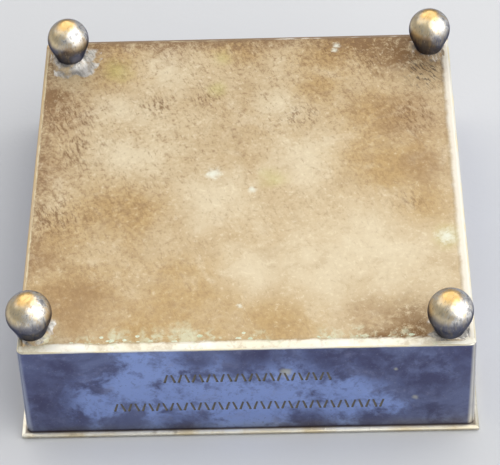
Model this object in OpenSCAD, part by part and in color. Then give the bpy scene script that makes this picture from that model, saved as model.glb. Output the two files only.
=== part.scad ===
// Hand ink blotter: a shallow square metal casing with a ball foot at each corner of its back,
// pushed down over a wooden block that is wrapped in blotting paper. It is drawn the way it is
// used, face down: Z = 0 is the blotting face, +Z runs up to the ball feet, and -Y is the
// engraved front. It stands on the ball feet when it is put away. Sizes are in millimetres.

/* [Casing] */
// Side of the square back, measured over the walls
casing_side = 64; // [60:0.5:70]
// Height of the casing from the rim's face to the back edge of the walls
casing_h = 18.1; // [17.6:0.1:20]
// How much further out each wall stands at the rim than at the back
wall_flare = 0.45; // [0.3:0.05:1]
// Thickness of the walls
wall_t = 1; // [0.8:0.1:1.2]
// Outside radius of the upright corners
corner_r = 0.9; // [0.5:0.1:1.4]
// Thickness of the base plate
plate_t = 0.9; // [0.6:0.1:1.1]
// How far the base plate lies below the back edge of the walls
plate_recess = 0.15; // [0.05:0.05:0.3]
// Thickness of the rim strips
rim_t = 0.6; // [0.5:0.1:1]
// How far the rim stands out past the walls
rim_out = 0.65; // [0.4:0.05:1.5]

/* [Ball feet] */
// Diameter of each ball
foot_d = 6.6; // [5.6:0.1:7]
// Height of a ball's widest part above the back edge of the walls
foot_rise = 3.9; // [3.7:0.1:4.4]
// Diameter of the base that each ball tapers down to
foot_base_d = 4.2; // [3.2:0.1:4.8]
// Distance from each side of the back to a foot's axis
foot_inset = 3.5; // [3:0.1:5]
// How much of each ball's crown is worn flat
crown_wear = 0.06; // [0.02:0.02:0.2]

/* [Block] */
// Thickness of the wooden block
block_t = 10.2; // [9:0.1:10.4]
// Thickness of the felt between the block and the paper
felt_t = 2; // [1.5:0.1:2.2]
// Gap at each end of the block, where a fingernail lifts it out
end_gap = 0.7; // [0.6:0.1:1]
// Radius of the edges that the paper is folded round
fold_r = 1; // [0.6:0.1:1.4]

/* [Blotting paper] */
// Thickness of one sheet
sheet_t = 0.5; // [0.3:0.05:0.5]
// Width of a sheet, from end to end of the block
sheet_w = 60; // [50:0.5:60]
// Length of the flap that is folded over the back of the block
flap = 11; // [6:0.5:14]
// How far the paper stands proud of the rim
paper_proud = 0.3; // [0.1:0.1:0.5]

/* [Clamp] */
// Side of the square clamp plate that holds the flaps
clamp_side = 52; // [46:1:54]
// Thickness of the clamp plate
clamp_t = 0.8; // [0.5:0.1:0.8]
// Distance from the middle of the block to each clamp screw
screw_x = 14; // [8:1:18]

/* [Engraving] */
// Height and count of ticks of each zigzag line on the front wall
zigzags = [[12.3, 24], [6.1, 39]];
// Distance from one tick to the next
tick_pitch = 1; // [0.9:0.05:1.2]
// How far each tick leans, in degrees
tick_slant = 16; // [14:1:22]
// Width of a tick at the surface
tick_w = 0.4; // [0.3:0.05:0.5]
// Depth of a tick
tick_depth = 0.18; // [0.06:0.02:0.24]

/* [Hidden] */
$fn = 48;

// Levels, from the blotting face up
sheet_count = 2;
felt_z0 = sheet_count * sheet_t;
block_z0 = felt_z0 + felt_t;
block_top = block_z0 + block_t;
flap_top = block_top + sheet_count * sheet_t;
clamp_top = flap_top + clamp_t;
rim_z0 = paper_proud;
wall_z0 = rim_z0 + rim_t;
casing_top = rim_z0 + casing_h;
plate_z0 = casing_top - plate_recess - plate_t;

// Half-widths
outer_half = casing_side / 2;
inner_half = outer_half - wall_t;
paper_gap = 0.3;
block_half_y = inner_half - paper_gap - sheet_count * sheet_t;
block_half_x = inner_half - end_gap;

// The quarters of the casing, front first, turning to the right
FRONT = 0;
RIGHT = 1;
REAR = 2;
LEFT = 3;
seam = 0.04;

// The corners: the side each is on in X and Y, how far its foot was set off the true place,
// and how far its solder has run
FRONT_LEFT = [-1, -1, [-1.6, 0.5], 3.6];
FRONT_RIGHT = [1, -1, [-0.1, -0.6], 3.7];
REAR_RIGHT = [1, 1, [0.3, 0.25], 3.7];
REAR_LEFT = [-1, 1, [0.5, -0.15], 5];
solder_rise = 0.9;
foot_steps = 24;
solder_steps = 10;

// Leaf springs, in a shallow recess at each end of the block
recess_d = 0.6;
recess_l = 42;
recess_w = 7;
spring_t = 0.35;
spring_w = 5;
spring_l = 36;
spring_bow = 1.05;
pin_d = 0.9;
pin_l = 6;
pin_head_d = 2.6;
pin_head_h = 0.6;

// Clamp screws
screw_d = 1.6;
screw_l = 8.5;
screw_head_d = 4;
screw_head_h = 0.8;
screw_slot = 0.6;
running_gap = 0.05;

// Stop strips, which the block's back comes up against
stop_w = 2.4;
stop_l = 34;

// Half-width over the outside of the walls at height z
function half_at(z) = outer_half + wall_flare * (casing_top - z) / (casing_top - wall_z0);

// Radius of the sphere whose cap has base diameter d and height h
function cap_r(d, h) = (h * h + d * d / 4) / (2 * h);

// Square of half-width half_w with its corners rounded to radius r
module rounded_square(half_w, r) {
    offset(r = r) square(2 * (half_w - r), center = true);
}

// The tapered square column that runs inset inside the walls' outer faces
module tapered_column(z0, z1, inset, r) {
    low = half_at(z0) - inset;
    high = half_at(z1) - inset;
    translate([0, 0, z0])
        linear_extrude(height = z1 - z0, scale = high / low)
            if (r > 0) rounded_square(low, r);
            else square(2 * low, center = true);
}

// The quarter of the plan between two mitres, with half a seam taken off each side
module quarter(turn, z0, z1) {
    reach = casing_side;
    rotate([0, 0, 90 * turn])
        translate([0, -seam / sqrt(2), z0])
            linear_extrude(height = z1 - z0)
                polygon([[0, 0], [-reach, -reach], [reach, -reach]]);
}

module wall(turn) {
    intersection() {
        difference() {
            tapered_column(wall_z0, casing_top, 0, corner_r);
            tapered_column(wall_z0 - 1, casing_top + 1, wall_t, 0);
        }
        quarter(turn, wall_z0 - 1, casing_top + 1);
    }
}

// One zigzag line of V-cut ticks, centred on the front wall at height z
module zigzag(z, count) {
    tick_l = tick_pitch / sin(tick_slant) / 2;
    half_w = tick_w / 2;
    for (i = [0:count - 1])
        translate([(i - (count - 1) / 2) * tick_pitch, -half_at(z), z])
            rotate([0, i % 2 == 0 ? tick_slant : -tick_slant, 0])
                linear_extrude(height = tick_l, center = true)
                    polygon([[-half_w, 0], [0, -tick_depth], [half_w, 0], [0, tick_depth]]);
}

module front_wall() {
    color("slategray")
        difference() {
            wall(FRONT);
            for (line = zigzags) zigzag(line[0], line[1]);
        }
}

module plain_wall(turn) {
    color("slategray") wall(turn);
}

module base_plate() {
    color("tan")
        translate([-inner_half, -inner_half, plate_z0])
            cube([2 * inner_half, 2 * inner_half, plate_t]);
}

module rim_strip(turn) {
    outer = half_at(wall_z0) + rim_out;
    inner = half_at(wall_z0) - wall_t;
    color("lightgoldenrodyellow")
        intersection() {
            translate([0, 0, rim_z0])
                linear_extrude(height = rim_t)
                    difference() {
                        square(2 * outer, center = true);
                        square(2 * inner, center = true);
                    }
            quarter(turn, 0, wall_z0 + 1);
        }
}

// A square bar soldered inside the base plate, at the left (side = -1) or right (side = 1)
module stop_strip(side) {
    clearance = 0.05;
    z0 = block_top + clearance;
    color("peru")
        translate([side * (block_half_x - stop_w / 2) - stop_w / 2, -stop_l / 2, z0])
            cube([stop_w, stop_l, plate_z0 - z0]);
}

function foot_x(corner) = corner[0] * (outer_half - foot_inset) + corner[2][0];
function foot_y(corner) = corner[1] * (outer_half - foot_inset) + corner[2][1];

// Angle, seen from the ball's centre, at which its taper starts
function taper_angle() =
    acos(foot_d / 2 / norm([foot_base_d / 2, foot_rise])) - atan2(foot_rise, foot_base_d / 2);

// Radius and height of the point on a foot's outline at angle a, seen from the ball's centre
function on_ball(a) = [foot_d / 2 * cos(a), foot_rise + foot_d / 2 * sin(a)];

// Radius of the taper at height z
function taper_r(z) =
    let (top = on_ball(taper_angle()), base_r = foot_base_d / 2)
    base_r + (top[0] - base_r) * z / top[1];

// A ball that tapers to its base like an acorn, with its crown worn flat
module foot(corner) {
    low = taper_angle();
    high = asin(1 - 2 * crown_wear / foot_d);
    outline = [for (i = [0:foot_steps]) on_ball(low + (high - low) * i / foot_steps)];
    crown = foot_rise + foot_d / 2 - crown_wear;
    color("silver")
        translate([foot_x(corner), foot_y(corner), casing_top])
            rotate_extrude()
                polygon(concat([[0, 0], [foot_base_d / 2, 0]], outline, [[0, crown]]));
}

// A ring of solder with a hollow slope round the foot, over the pool that the foot stands in
module solder(corner) {
    run = corner[3];
    climb = run - taper_r(solder_rise);
    slope = [for (i = [0:solder_steps])
        let (a = 90 * i / solder_steps)
        [run - climb * sin(a), solder_rise * (1 - cos(a))]];
    lip = 0.2;
    color("darkgray")
        difference() {
            translate([foot_x(corner), foot_y(corner), casing_top])
                union() {
                    rotate_extrude() polygon(concat([[foot_base_d / 2, 0]], slope));
                    translate([0, 0, -plate_recess]) cylinder(r = run, h = plate_recess);
                }
            difference() {
                translate([0, 0, casing_top - 1])
                    cube([2 * casing_side, 2 * casing_side, 2], center = true);
                translate([0, 0, casing_top - 1])
                    cube([2 * inner_half, 2 * inner_half, 3], center = true);
            }
            difference() {
                cube([2 * casing_side, 2 * casing_side, 4 * casing_h], center = true);
                cube([casing_side - lip, casing_side - lip, 5 * casing_h], center = true);
            }
        }
}

// Section through the block, front to back, with its four long edges rounded
module fold_section(half_y, z0, z1, r) {
    translate([-half_y + r, z0]) square([2 * (half_y - r), z1 - z0]);
    translate([-half_y, z0 + r]) square([2 * half_y, z1 - z0 - 2 * r]);
    for (y = [-half_y + r, half_y - r], z = [z0 + r, z1 - r])
        translate([y, z]) circle(r = r);
}

// Runs a front-to-back section along X, centred
module along_x(length) {
    rotate([90, 0, 90])
        translate([0, 0, -length / 2])
            linear_extrude(height = length) children();
}

module core() {
    along_x(2 * block_half_x) fold_section(block_half_y, felt_z0, block_top, fold_r);
}

module wood_block() {
    mid_z = (block_z0 + block_top) / 2;
    color("burlywood")
        difference() {
            core();
            translate([0, 0, block_z0 - casing_side])
                cube([2 * casing_side, 2 * casing_side, 2 * casing_side], center = true);
            for (side = [-1, 1]) {
                translate([side * block_half_x, 0, mid_z])
                    cube([2 * recess_d, recess_l, recess_w], center = true);
                translate([side * (block_half_x - recess_d - pin_l / 2), 0, mid_z])
                    rotate([0, 90, 0]) cylinder(d = pin_d, h = pin_l + 1, center = true);
                translate([side * screw_x, 0, clamp_top - screw_l - 1])
                    cylinder(d = screw_d + 2 * running_gap, h = screw_l + 2);
            }
        }
}

module felt_cushion() {
    color("darkolivegreen")
        intersection() {
            core();
            translate([-casing_side, -casing_side, 0])
                cube([2 * casing_side, 2 * casing_side, block_z0]);
        }
}

// One sheet, folded round the felt and the block; layer 0 lies against them
module blotting_sheet(layer) {
    in = layer * sheet_t;
    out = in + sheet_t;
    window = block_half_y - flap;
    color("antiquewhite")
        along_x(sheet_w)
            difference() {
                fold_section(block_half_y + out, felt_z0 - out, block_top + out, fold_r + out);
                fold_section(block_half_y + in, felt_z0 - in, block_top + in, fold_r + in);
                translate([-window, block_top - 1]) square([2 * window, flap_top]);
            }
}

// A flat bow held at its middle, with both arms reaching out to the wall
module leaf_spring(side) {
    mid_z = (block_z0 + block_top) / 2;
    bow_r = (spring_l * spring_l / 4 + spring_bow * spring_bow) / (2 * spring_bow);
    floor_x = block_half_x - recess_d;
    color("goldenrod")
        mirror([side < 0 ? 1 : 0, 0, 0])
            difference() {
                translate([floor_x, 0, mid_z - spring_w / 2])
                    linear_extrude(height = spring_w)
                        intersection() {
                            translate([bow_r, 0])
                                difference() {
                                    circle(r = bow_r, $fn = 720);
                                    circle(r = bow_r - spring_t, $fn = 720);
                                }
                            translate([0, -spring_l / 2])
                                square([2 * spring_bow + spring_t, spring_l]);
                        }
                translate([floor_x - 1, 0, mid_z])
                    rotate([0, 90, 0]) cylinder(d = pin_d + 2 * running_gap, h = 3);
            }
}

module spring_pin(side) {
    mid_z = (block_z0 + block_top) / 2;
    head_r = cap_r(pin_head_d, pin_head_h);
    color("gold")
        translate([side * (block_half_x - recess_d + spring_t), 0, mid_z])
            rotate([0, 90 * side, 0])
                union() {
                    translate([0, 0, -spring_t - pin_l]) cylinder(d = pin_d, h = pin_l + spring_t);
                    intersection() {
                        translate([0, 0, pin_head_h - head_r]) sphere(r = head_r);
                        cylinder(d = 2 * pin_head_d, h = 2 * pin_head_h);
                    }
                }
}

module clamp_plate() {
    half_w = clamp_side / 2;
    r = 3;
    color("lightsteelblue")
        translate([0, 0, flap_top])
            linear_extrude(height = clamp_t)
                difference() {
                    fold_section(half_w, -half_w, half_w, r);
                    for (side = [-1, 1])
                        translate([side * screw_x, 0]) circle(d = screw_d + 2 * running_gap);
                }
}

module clamp_screw(side) {
    head_r = cap_r(screw_head_d, screw_head_h);
    tip = 1.6;
    slot_depth = screw_head_h / 2;
    color("gainsboro")
        translate([side * screw_x, 0, clamp_top])
            difference() {
                union() {
                    intersection() {
                        translate([0, 0, screw_head_h - head_r]) sphere(r = head_r);
                        cylinder(d = 2 * screw_head_d, h = 2 * screw_head_h);
                    }
                    translate([0, 0, tip - screw_l]) cylinder(d = screw_d, h = screw_l - tip);
                    translate([0, 0, -screw_l]) cylinder(d1 = 0.2, d2 = screw_d, h = tip);
                }
                translate([0, 0, screw_head_h])
                    rotate([0, 0, side * 20])
                        cube([2 * screw_head_d, screw_slot, 2 * slot_depth], center = true);
            }
}

base_plate();
front_wall();
plain_wall(RIGHT);  // right_wall
plain_wall(REAR);  // rear_wall
plain_wall(LEFT);  // left_wall
rim_strip(FRONT);  // rim_front
rim_strip(RIGHT);  // rim_right
rim_strip(REAR);  // rim_rear
rim_strip(LEFT);  // rim_left
stop_strip(-1);  // stop_strip_left
stop_strip(1);  // stop_strip_right
foot(FRONT_LEFT);  // foot_front_left
foot(FRONT_RIGHT);  // foot_front_right
foot(REAR_RIGHT);  // foot_rear_right
foot(REAR_LEFT);  // foot_rear_left
solder(FRONT_LEFT);  // solder_front_left
solder(FRONT_RIGHT);  // solder_front_right
solder(REAR_RIGHT);  // solder_rear_right
solder(REAR_LEFT);  // solder_rear_left
wood_block();
felt_cushion();
blotting_sheet(0);  // blotting_sheet_inner
blotting_sheet(1);  // blotting_sheet_outer
leaf_spring(-1);  // leaf_spring_left
leaf_spring(1);  // leaf_spring_right
spring_pin(-1);  // spring_pin_left
spring_pin(1);  // spring_pin_right
clamp_plate();
clamp_screw(-1);  // clamp_screw_left
clamp_screw(1);  // clamp_screw_right
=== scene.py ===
"""Looks for the hand ink blotter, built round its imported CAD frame.

Everything is in the row frame: Z = 0 is the blotting face, +Z runs up to the ball feet and -Y is
the engraved front. The object lies face down, as it is used.
"""

import math
import random

import bmesh
import bpy
from mathutils import Matrix, Vector, noise


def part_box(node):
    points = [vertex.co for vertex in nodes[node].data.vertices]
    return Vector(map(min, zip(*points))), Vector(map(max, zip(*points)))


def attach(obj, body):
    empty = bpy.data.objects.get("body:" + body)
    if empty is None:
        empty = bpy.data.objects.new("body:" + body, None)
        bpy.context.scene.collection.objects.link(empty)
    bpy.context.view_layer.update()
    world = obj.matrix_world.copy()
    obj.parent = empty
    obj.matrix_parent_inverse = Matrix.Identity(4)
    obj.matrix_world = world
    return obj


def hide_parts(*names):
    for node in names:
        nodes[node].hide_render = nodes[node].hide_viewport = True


MM = 0.001
SIDES = ("front", "right", "rear", "left")
CORNERS = ("front_left", "front_right", "rear_right", "rear_left")

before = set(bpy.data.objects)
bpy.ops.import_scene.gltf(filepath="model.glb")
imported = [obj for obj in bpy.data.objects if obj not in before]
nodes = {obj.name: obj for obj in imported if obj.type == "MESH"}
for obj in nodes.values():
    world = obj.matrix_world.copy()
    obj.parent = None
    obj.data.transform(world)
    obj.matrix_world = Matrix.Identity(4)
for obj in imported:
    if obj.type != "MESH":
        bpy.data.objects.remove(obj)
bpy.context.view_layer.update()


# ---------------------------------------------------------------- sizes, read from the frame, in mm


def box_mm(node):
    """Lowest and highest corner of a CAD node, in millimetres."""
    low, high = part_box(node)
    return low / MM, high / MM


# Sizes that the nodes' boxes don't give
WALL_T = 1.0
CORNER_R = 0.9
CROWN_WEAR = 0.06
FOLD_R = 1.0
FLAP = 11.0
SHEET_T = 0.5

PLATE_HIGH = box_mm("base_plate")[1]
INNER_HALF = PLATE_HIGH.x
PLATE_TOP = PLATE_HIGH.z
CASING_TOP = box_mm("front_wall")[1].z
WALL_FOOT = box_mm("front_wall")[0].z
OUTER_HALF = INNER_HALF + WALL_T
FOOT_HALF = -box_mm("front_wall")[0].y
RIM_HALF = -box_mm("rim_front")[0].y
BLOCK_HIGH = box_mm("wood_block")[1]
FELT_LOW, FELT_HIGH = box_mm("felt_cushion")


def side_turn(side):
    """Turn about Z that takes the front wall's place to that of another side."""
    return Matrix.Rotation(math.radians(90 * SIDES.index(side)), 3, "Z")


def foot_axis(corner):
    """Where a foot's upright axis stands, as x and y."""
    low, high = box_mm("foot_" + corner)
    return (low.x + high.x) / 2, (low.y + high.y) / 2


# ---------------------------------------------------------------- material building


class Material:
    """A node material on one Principled shader.

    Positions in its nodes are row millimetres. reach is how far a point lies from the middle
    along x or y, whichever is more.
    """

    def __init__(self, name, metallic=0.0, roughness=0.5, **constants):
        self.material = bpy.data.materials.new(name)
        self.material.use_nodes = True
        self.tree = self.material.node_tree
        self.shader = self.tree.nodes["Principled BSDF"]
        self.shader.inputs["Metallic"].default_value = metallic
        self.shader.inputs["Roughness"].default_value = roughness
        for socket, value in constants.items():
            self.shader.inputs[socket.replace("_", " ")].default_value = value
        coordinates = self.tree.nodes.new("ShaderNodeTexCoord").outputs["Object"]
        self.at = self.vector("SCALE", coordinates, scale=1 / MM)
        split = self.node("ShaderNodeSeparateXYZ", {0: self.at})
        self.x, self.y, self.z = split.outputs
        self.reach = self.math("MAXIMUM", self.math("ABSOLUTE", self.x), self.math("ABSOLUTE", self.y))
        self.colour = None
        self.relief = None

    def node(self, kind, inputs=(), **settings):
        """Adds a node. inputs maps its sockets to other nodes' outputs or to constants."""
        made = self.tree.nodes.new(kind)
        for key, value in settings.items():
            setattr(made, key, value)
        for key, value in dict(inputs).items():
            socket = made.inputs[key]
            if isinstance(value, bpy.types.NodeSocket):
                self.tree.links.new(value, socket)
            else:
                socket.default_value = value
        return made

    def math(self, operation, a, b=0.0, c=0.0):
        made = self.node("ShaderNodeMath", {0: a, 1: b, 2: c}, operation=operation)
        return made.outputs[0]

    def add(self, a, b):
        return self.math("ADD", a, b)

    def times(self, a, b):
        return self.math("MULTIPLY", a, b)

    def swing(self, noise, width):
        """Noise from 0 to 1 made to run width wide about 0."""
        return self.times(self.add(noise, -0.5), width)

    def vector(self, operation, a, b=(0, 0, 0), scale=1.0):
        made = self.node("ShaderNodeVectorMath", {0: a, 1: b, 3: scale}, operation=operation)
        return made.outputs[1 if operation in ("LENGTH", "DISTANCE") else 0]

    def stretched(self, stretch, turn=0.0):
        """Position turned about Z by turn degrees, then scaled by stretch along each axis."""
        spin = (0, 0, math.radians(turn))
        turned = self.node("ShaderNodeVectorRotate", {"Vector": self.at, "Rotation": spin},
                           rotation_type="EULER_XYZ").outputs[0]
        return self.vector("MULTIPLY", turned, stretch)

    def noise(self, scale, detail=3.0, rough=0.55, warp=0.0, at=None, seed=0.0):
        """Noise with about scale features to the millimetre, from 0 to 1."""
        inputs = {"Vector": at or self.at, "W": seed, "Scale": scale, "Detail": detail,
                  "Roughness": rough, "Distortion": warp}
        return self.node("ShaderNodeTexNoise", inputs, noise_dimensions="4D").outputs["Fac"]

    def step(self, value, low, high):
        """0 below low and 1 above high, with a smooth rise; high may be the smaller one."""
        inputs = {"Value": value, "From Min": low, "From Max": high}
        return self.node("ShaderNodeMapRange", inputs, interpolation_type="SMOOTHSTEP").outputs[0]

    def near(self, spot, radius, soft=0.6, wobble=None):
        """1 at a spot and 0 past radius. wobble is a 0 to 1 noise that breaks the edge up."""
        distance = self.vector("DISTANCE", self.at, spot)
        if wobble is not None:
            distance = self.add(distance, self.swing(wobble, 2.2 * radius))
        return self.step(distance, radius, radius * (1 - soft))

    def most(self, values):
        """The largest of several values."""
        largest = values[0]
        for value in values[1:]:
            largest = self.math("MAXIMUM", largest, value)
        return largest

    def mix(self, factor, a, b):
        """Colour a where factor is 0 and b where it is 1."""
        made = self.node("ShaderNodeMix", {"Factor": factor}, data_type="RGBA", clamp_factor=True)
        for socket, value in ((made.inputs[6], a), (made.inputs[7], b)):
            if isinstance(value, bpy.types.NodeSocket):
                self.tree.links.new(value, socket)
            else:
                socket.default_value = (*value, 1)
        return made.outputs[2]

    def paint(self, mask, strength, colour):
        """Covers the material's colour with another where mask is 1, as far as strength allows."""
        self.colour = self.mix(self.times(mask, strength), self.colour, colour)

    def blend(self, factor, a, b):
        """Number a where factor is 0 and b where it is 1."""
        inputs = {"Value": factor, "To Min": a, "To Max": b}
        return self.node("ShaderNodeMapRange", inputs).outputs[0]

    def bump(self, height, depth):
        """Adds relief: height from 0 to 1 stands for depth in millimetres."""
        inputs = {"Height": height, "Distance": depth * MM, "Strength": 1.0}
        if self.relief is not None:
            inputs["Normal"] = self.relief
        self.relief = self.node("ShaderNodeBump", inputs).outputs[0]

    def done(self, roughness=None, metallic=None):
        """Links the colour, the relief and any other channel to the shader."""
        links = {"Base Color": self.colour, "Roughness": roughness, "Metallic": metallic,
                 "Normal": self.relief}
        for name, socket in links.items():
            if socket is not None:
                self.tree.links.new(socket, self.shader.inputs[name])
        return self.material


def hairlines(m, turn, seed, fine=3.0):
    """Scratches along one direction, from 0 to 1."""
    lines = m.noise(1.0, 2, 0.5, at=m.stretched((fine, 0.12, fine), turn), seed=seed)
    return m.step(lines, 0.60, 0.72)


# ---------------------------------------------------------------- metals


def back_spots(m, edge, places, soft=1.0):
    """Spots on the back, their edges broken up by the noise edge.

    A place is x and y as parts of the half-side, and a radius in mm.
    """
    half = INNER_HALF
    return m.most([m.near((x * half, y * half, PLATE_TOP), r, soft, edge) for x, y, r in places])


def back_clouds(m, wobble, mottle, speckle):
    """Clouds of tarnish: pale, gold, brown, and nearly black in three corners.

    Returns how soiled the back is, as a small number to add to a noise.
    """
    pale = back_spots(m, wobble, [
        (0.66, -0.45, 16), (0.40, -0.60, 15), (-0.55, 0.18, 10), (0.27, 0.15, 9), (-0.44, 0.80, 9),
        (-0.15, -0.10, 10), (0.05, -0.55, 10), (0.16, 0.55, 7), (-0.62, 0.50, 8)])
    gold = back_spots(m, wobble, [
        (-0.29, -0.76, 13), (-0.60, -0.14, 11), (-0.80, -0.65, 14), (0.16, -0.88, 9),
        (0.67, 0.10, 11), (0.83, -0.15, 8), (-0.90, -0.35, 9), (-0.05, 0.97, 9), (0.42, 0.88, 11),
        (-0.68, 0.86, 9), (0.36, 0.70, 7), (-0.50, -0.92, 9), (0.62, 0.45, 8)])
    brown = back_spots(m, wobble, [
        (-0.80, -0.74, 11), (-0.95, 0.55, 9), (-0.99, 0.12, 7), (-0.97, -0.45, 8), (0.86, 0.44, 9),
        (-0.38, 1.00, 8), (0.90, 0.10, 6), (0.55, -0.84, 6), (0.12, 1.02, 6)])
    dark = back_spots(m, wobble, [
        (0.62, 0.98, 7.5), (0.78, 0.92, 9), (0.75, -0.94, 8.5), (0.61, -0.98, 5.5),
        (-0.98, 0.60, 4), (-0.80, 0.98, 4)])
    clouds = m.noise(0.07, 4, 0.55, 0.6, seed=1.0)
    drifts = m.noise(0.20, 6, 0.60, 0.9, seed=1.5)
    m.colour = m.mix(m.step(clouds, 0.36, 0.64), (0.55, 0.415, 0.24), (0.61, 0.485, 0.305))
    m.paint(pale, 0.70, (0.73, 0.635, 0.455))
    m.paint(gold, 0.66, (0.47, 0.295, 0.095))
    m.paint(brown, 0.50, (0.37, 0.23, 0.105))
    m.paint(m.step(drifts, 0.50, 0.68), 0.30, (0.40, 0.27, 0.13))
    m.paint(m.step(drifts, 0.48, 0.32), 0.26, (0.78, 0.69, 0.51))
    broken = m.step(m.add(mottle, m.swing(speckle, 0.8)), 0.30, 0.55)
    m.paint(m.times(dark, broken), 0.92, (0.19, 0.088, 0.020))
    return m.add(m.times(m.add(gold, brown), 0.04), m.times(pale, -0.03))


def back_wear(m, wobble, mottle, speckle, grain, soiled, rough):
    """Fine wear: patches, dots, scores, nicks and hairlines. Returns the mask of its patches."""
    patchy = m.step(m.add(mottle, soiled), 0.52, 0.66)
    m.paint(m.times(patchy, rough), 0.42, (0.35, 0.225, 0.11))
    dotted = m.step(m.add(speckle, soiled), 0.52, 0.64)
    m.paint(m.times(dotted, rough), 0.75, (0.27, 0.15, 0.065))
    bare = m.step(m.add(speckle, m.times(soiled, 0.5)), 0.47, 0.36)
    m.paint(bare, 0.42, (0.85, 0.765, 0.57))
    scored = m.step(m.add(grain, soiled), 0.53, 0.64)
    m.paint(m.times(scored, rough), 0.65, (0.28, 0.165, 0.075))
    nicked = back_spots(m, wobble, [
        (0.27, 0.44, 4.0), (-0.45, 0.55, 4.0), (-0.20, 0.62, 4.0), (0.84, 0.44, 5.0),
        (-0.93, 0.50, 8.0), (-0.85, 0.25, 6.0), (-0.35, 1.00, 6.0), (0.05, 1.00, 5.0),
        (0.42, 1.00, 5.0), (-0.95, -0.20, 6.0), (0.62, 0.86, 6.0), (0.78, -0.14, 4.0)])
    m.paint(m.times(nicked, m.step(grain, 0.49, 0.58)), 0.78, (0.20, 0.105, 0.04))
    wiped = back_spots(m, wobble, [(0.10, 0.55, 9.0)])
    m.paint(m.times(hairlines(m, 62, 5.0), wiped), 0.45, (0.88, 0.80, 0.64))
    return patchy


def back_stains(m, wobble, mottle, speckle):
    """Brown edges, olive tints, verdigris out of the front seam, pale flecks and file marks."""
    half = INNER_HALF
    edge = m.step(m.add(m.reach, m.times(mottle, 3.0)), half - 0.6, half + 1.6)
    far = m.step(m.add(m.y, m.times(m.x, -0.6)), -half + 8.0, half)
    uneven = m.blend(m.step(speckle, 0.44, 0.56), 0.2, 0.75)
    m.paint(m.times(edge, far), uneven, (0.23, 0.135, 0.065))
    tints = back_spots(m, wobble, [
        (-0.66, 0.82, 3.6), (-0.13, 0.88, 3.0), (-0.14, 0.66, 2.6), (0.13, 0.02, 3.2),
        (0.94, -0.37, 3.4)])
    m.paint(tints, 0.42, (0.52, 0.48, 0.15))
    crept = back_spots(m, mottle, [
        (-0.92, -0.97, 2.2), (-0.72, -0.97, 2.2), (-0.58, -0.96, 2.8), (-0.42, -0.96, 3.0),
        (-0.28, -0.95, 3.2), (-0.14, -0.96, 2.6), (0.06, -0.97, 2.2), (0.38, -0.96, 2.6),
        (0.52, -0.97, 2.8), (0.70, -0.97, 2.0)], 0.8)
    crusted = m.step(m.noise(0.8, 5, 0.65, 0.4, seed=6.0), 0.44, 0.56)
    m.paint(m.times(crept, crusted), 0.58, (0.68, 0.72, 0.53))
    flecks = back_spots(m, speckle, [
        (-0.16, 0.07, 1.7), (0.94, -0.37, 2.2), (0.03, -0.04, 0.9), (0.46, 0.965, 0.8),
        (0.45, 0.93, 0.8), (-0.03, -0.77, 0.6)])
    m.paint(flecks, 0.85, (0.80, 0.81, 0.70))
    filed = back_spots(m, wobble, [(0.90, 0.76, 5.0)], 0.7)
    marks = m.noise(1.0, 2, 0.5, at=m.stretched((3.4, 0.9, 1.0), -35), seed=7.0)
    m.paint(m.times(filed, m.step(marks, 0.52, 0.62)), 0.85, (0.12, 0.08, 0.05))


def back_edges(m, mottle):
    """The metal rolled over the walls: a painted highlight along its outer edge, paler and wider on the
    right, and dark in places along the rear.
    """
    half = INNER_HALF
    # Painted highlight along the outer edge, brighter towards the right
    lip_highlight = m.step(m.add(m.reach, m.times(mottle, 0.5)), half + 0.62, half + 0.92)
    m.paint(lip_highlight, 0.9, m.mix(m.step(m.x, 0.0, 4.0), (0.78, 0.69, 0.47), (0.90, 0.88, 0.82)))
    # A wider painted highlight along the right-hand edge
    right = m.step(m.add(m.x, m.times(mottle, 1.4)), half + 0.1, half + 0.9)
    m.paint(right, 0.8, (0.88, 0.84, 0.74))
    rear = m.step(m.add(m.y, m.times(mottle, 1.4)), half + 0.5, half + 1.3)
    dark_rear = m.step(m.noise(0.16, 3, 0.6, seed=9.0), 0.44, 0.56)
    m.paint(rear, m.blend(dark_rear, 0.15, 0.85), (0.22, 0.13, 0.06))


def back_surface(m):
    """Gives m the back's colour and relief, and returns its roughness and share of bare metal."""
    mottle = m.noise(0.50, 9, 0.72, 0.4, seed=2.0)
    speckle = m.noise(1.3, 7, 0.80, 0.4, seed=3.0)
    grain = m.noise(1.0, 6, 0.75, at=m.stretched((2.8, 0.9, 1.0), -24), seed=3.5)
    wobble = m.noise(0.12, 6, 0.66, 0.6, seed=4.0)
    # The front right is rubbed smooth
    from_front_right = m.add(m.y, m.times(m.x, -0.5))
    rough = m.blend(m.step(from_front_right, -0.8 * INNER_HALF, 0.8 * INNER_HALF), 0.35, 1.0)
    soiled = back_clouds(m, wobble, mottle, speckle)
    patchy = back_wear(m, wobble, mottle, speckle, grain, soiled, rough)
    back_stains(m, wobble, mottle, speckle)
    back_edges(m, mottle)
    m.bump(m.times(speckle, rough), 0.11)
    m.bump(m.times(grain, rough), 0.08)
    m.bump(mottle, 0.07)
    m.bump(m.noise(0.12, 2, seed=8.0), 0.25)
    return m.blend(mottle, 0.36, 0.62), m.blend(patchy, 0.38, 0.18)


def plate_material():
    """The back: silver plate gone tan and matt, browner towards its edges and its feet."""
    m = Material("tarnished_back_plate", metallic=0.3)
    return m.done(*back_surface(m))


def wall_spots(m, edge, marks, soft):
    """Spots on the walls, their edges broken up by the noise edge.

    marks lists them by side. A mark is a distance along its wall, a height and a radius, in mm.
    """
    found = []
    for side, places in marks.items():
        for along, z, radius in places:
            spot = side_turn(side) @ Vector((along, -OUTER_HALF, z))
            found.append(m.near(spot, radius, soft, edge))
    return m.most(found)


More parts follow.
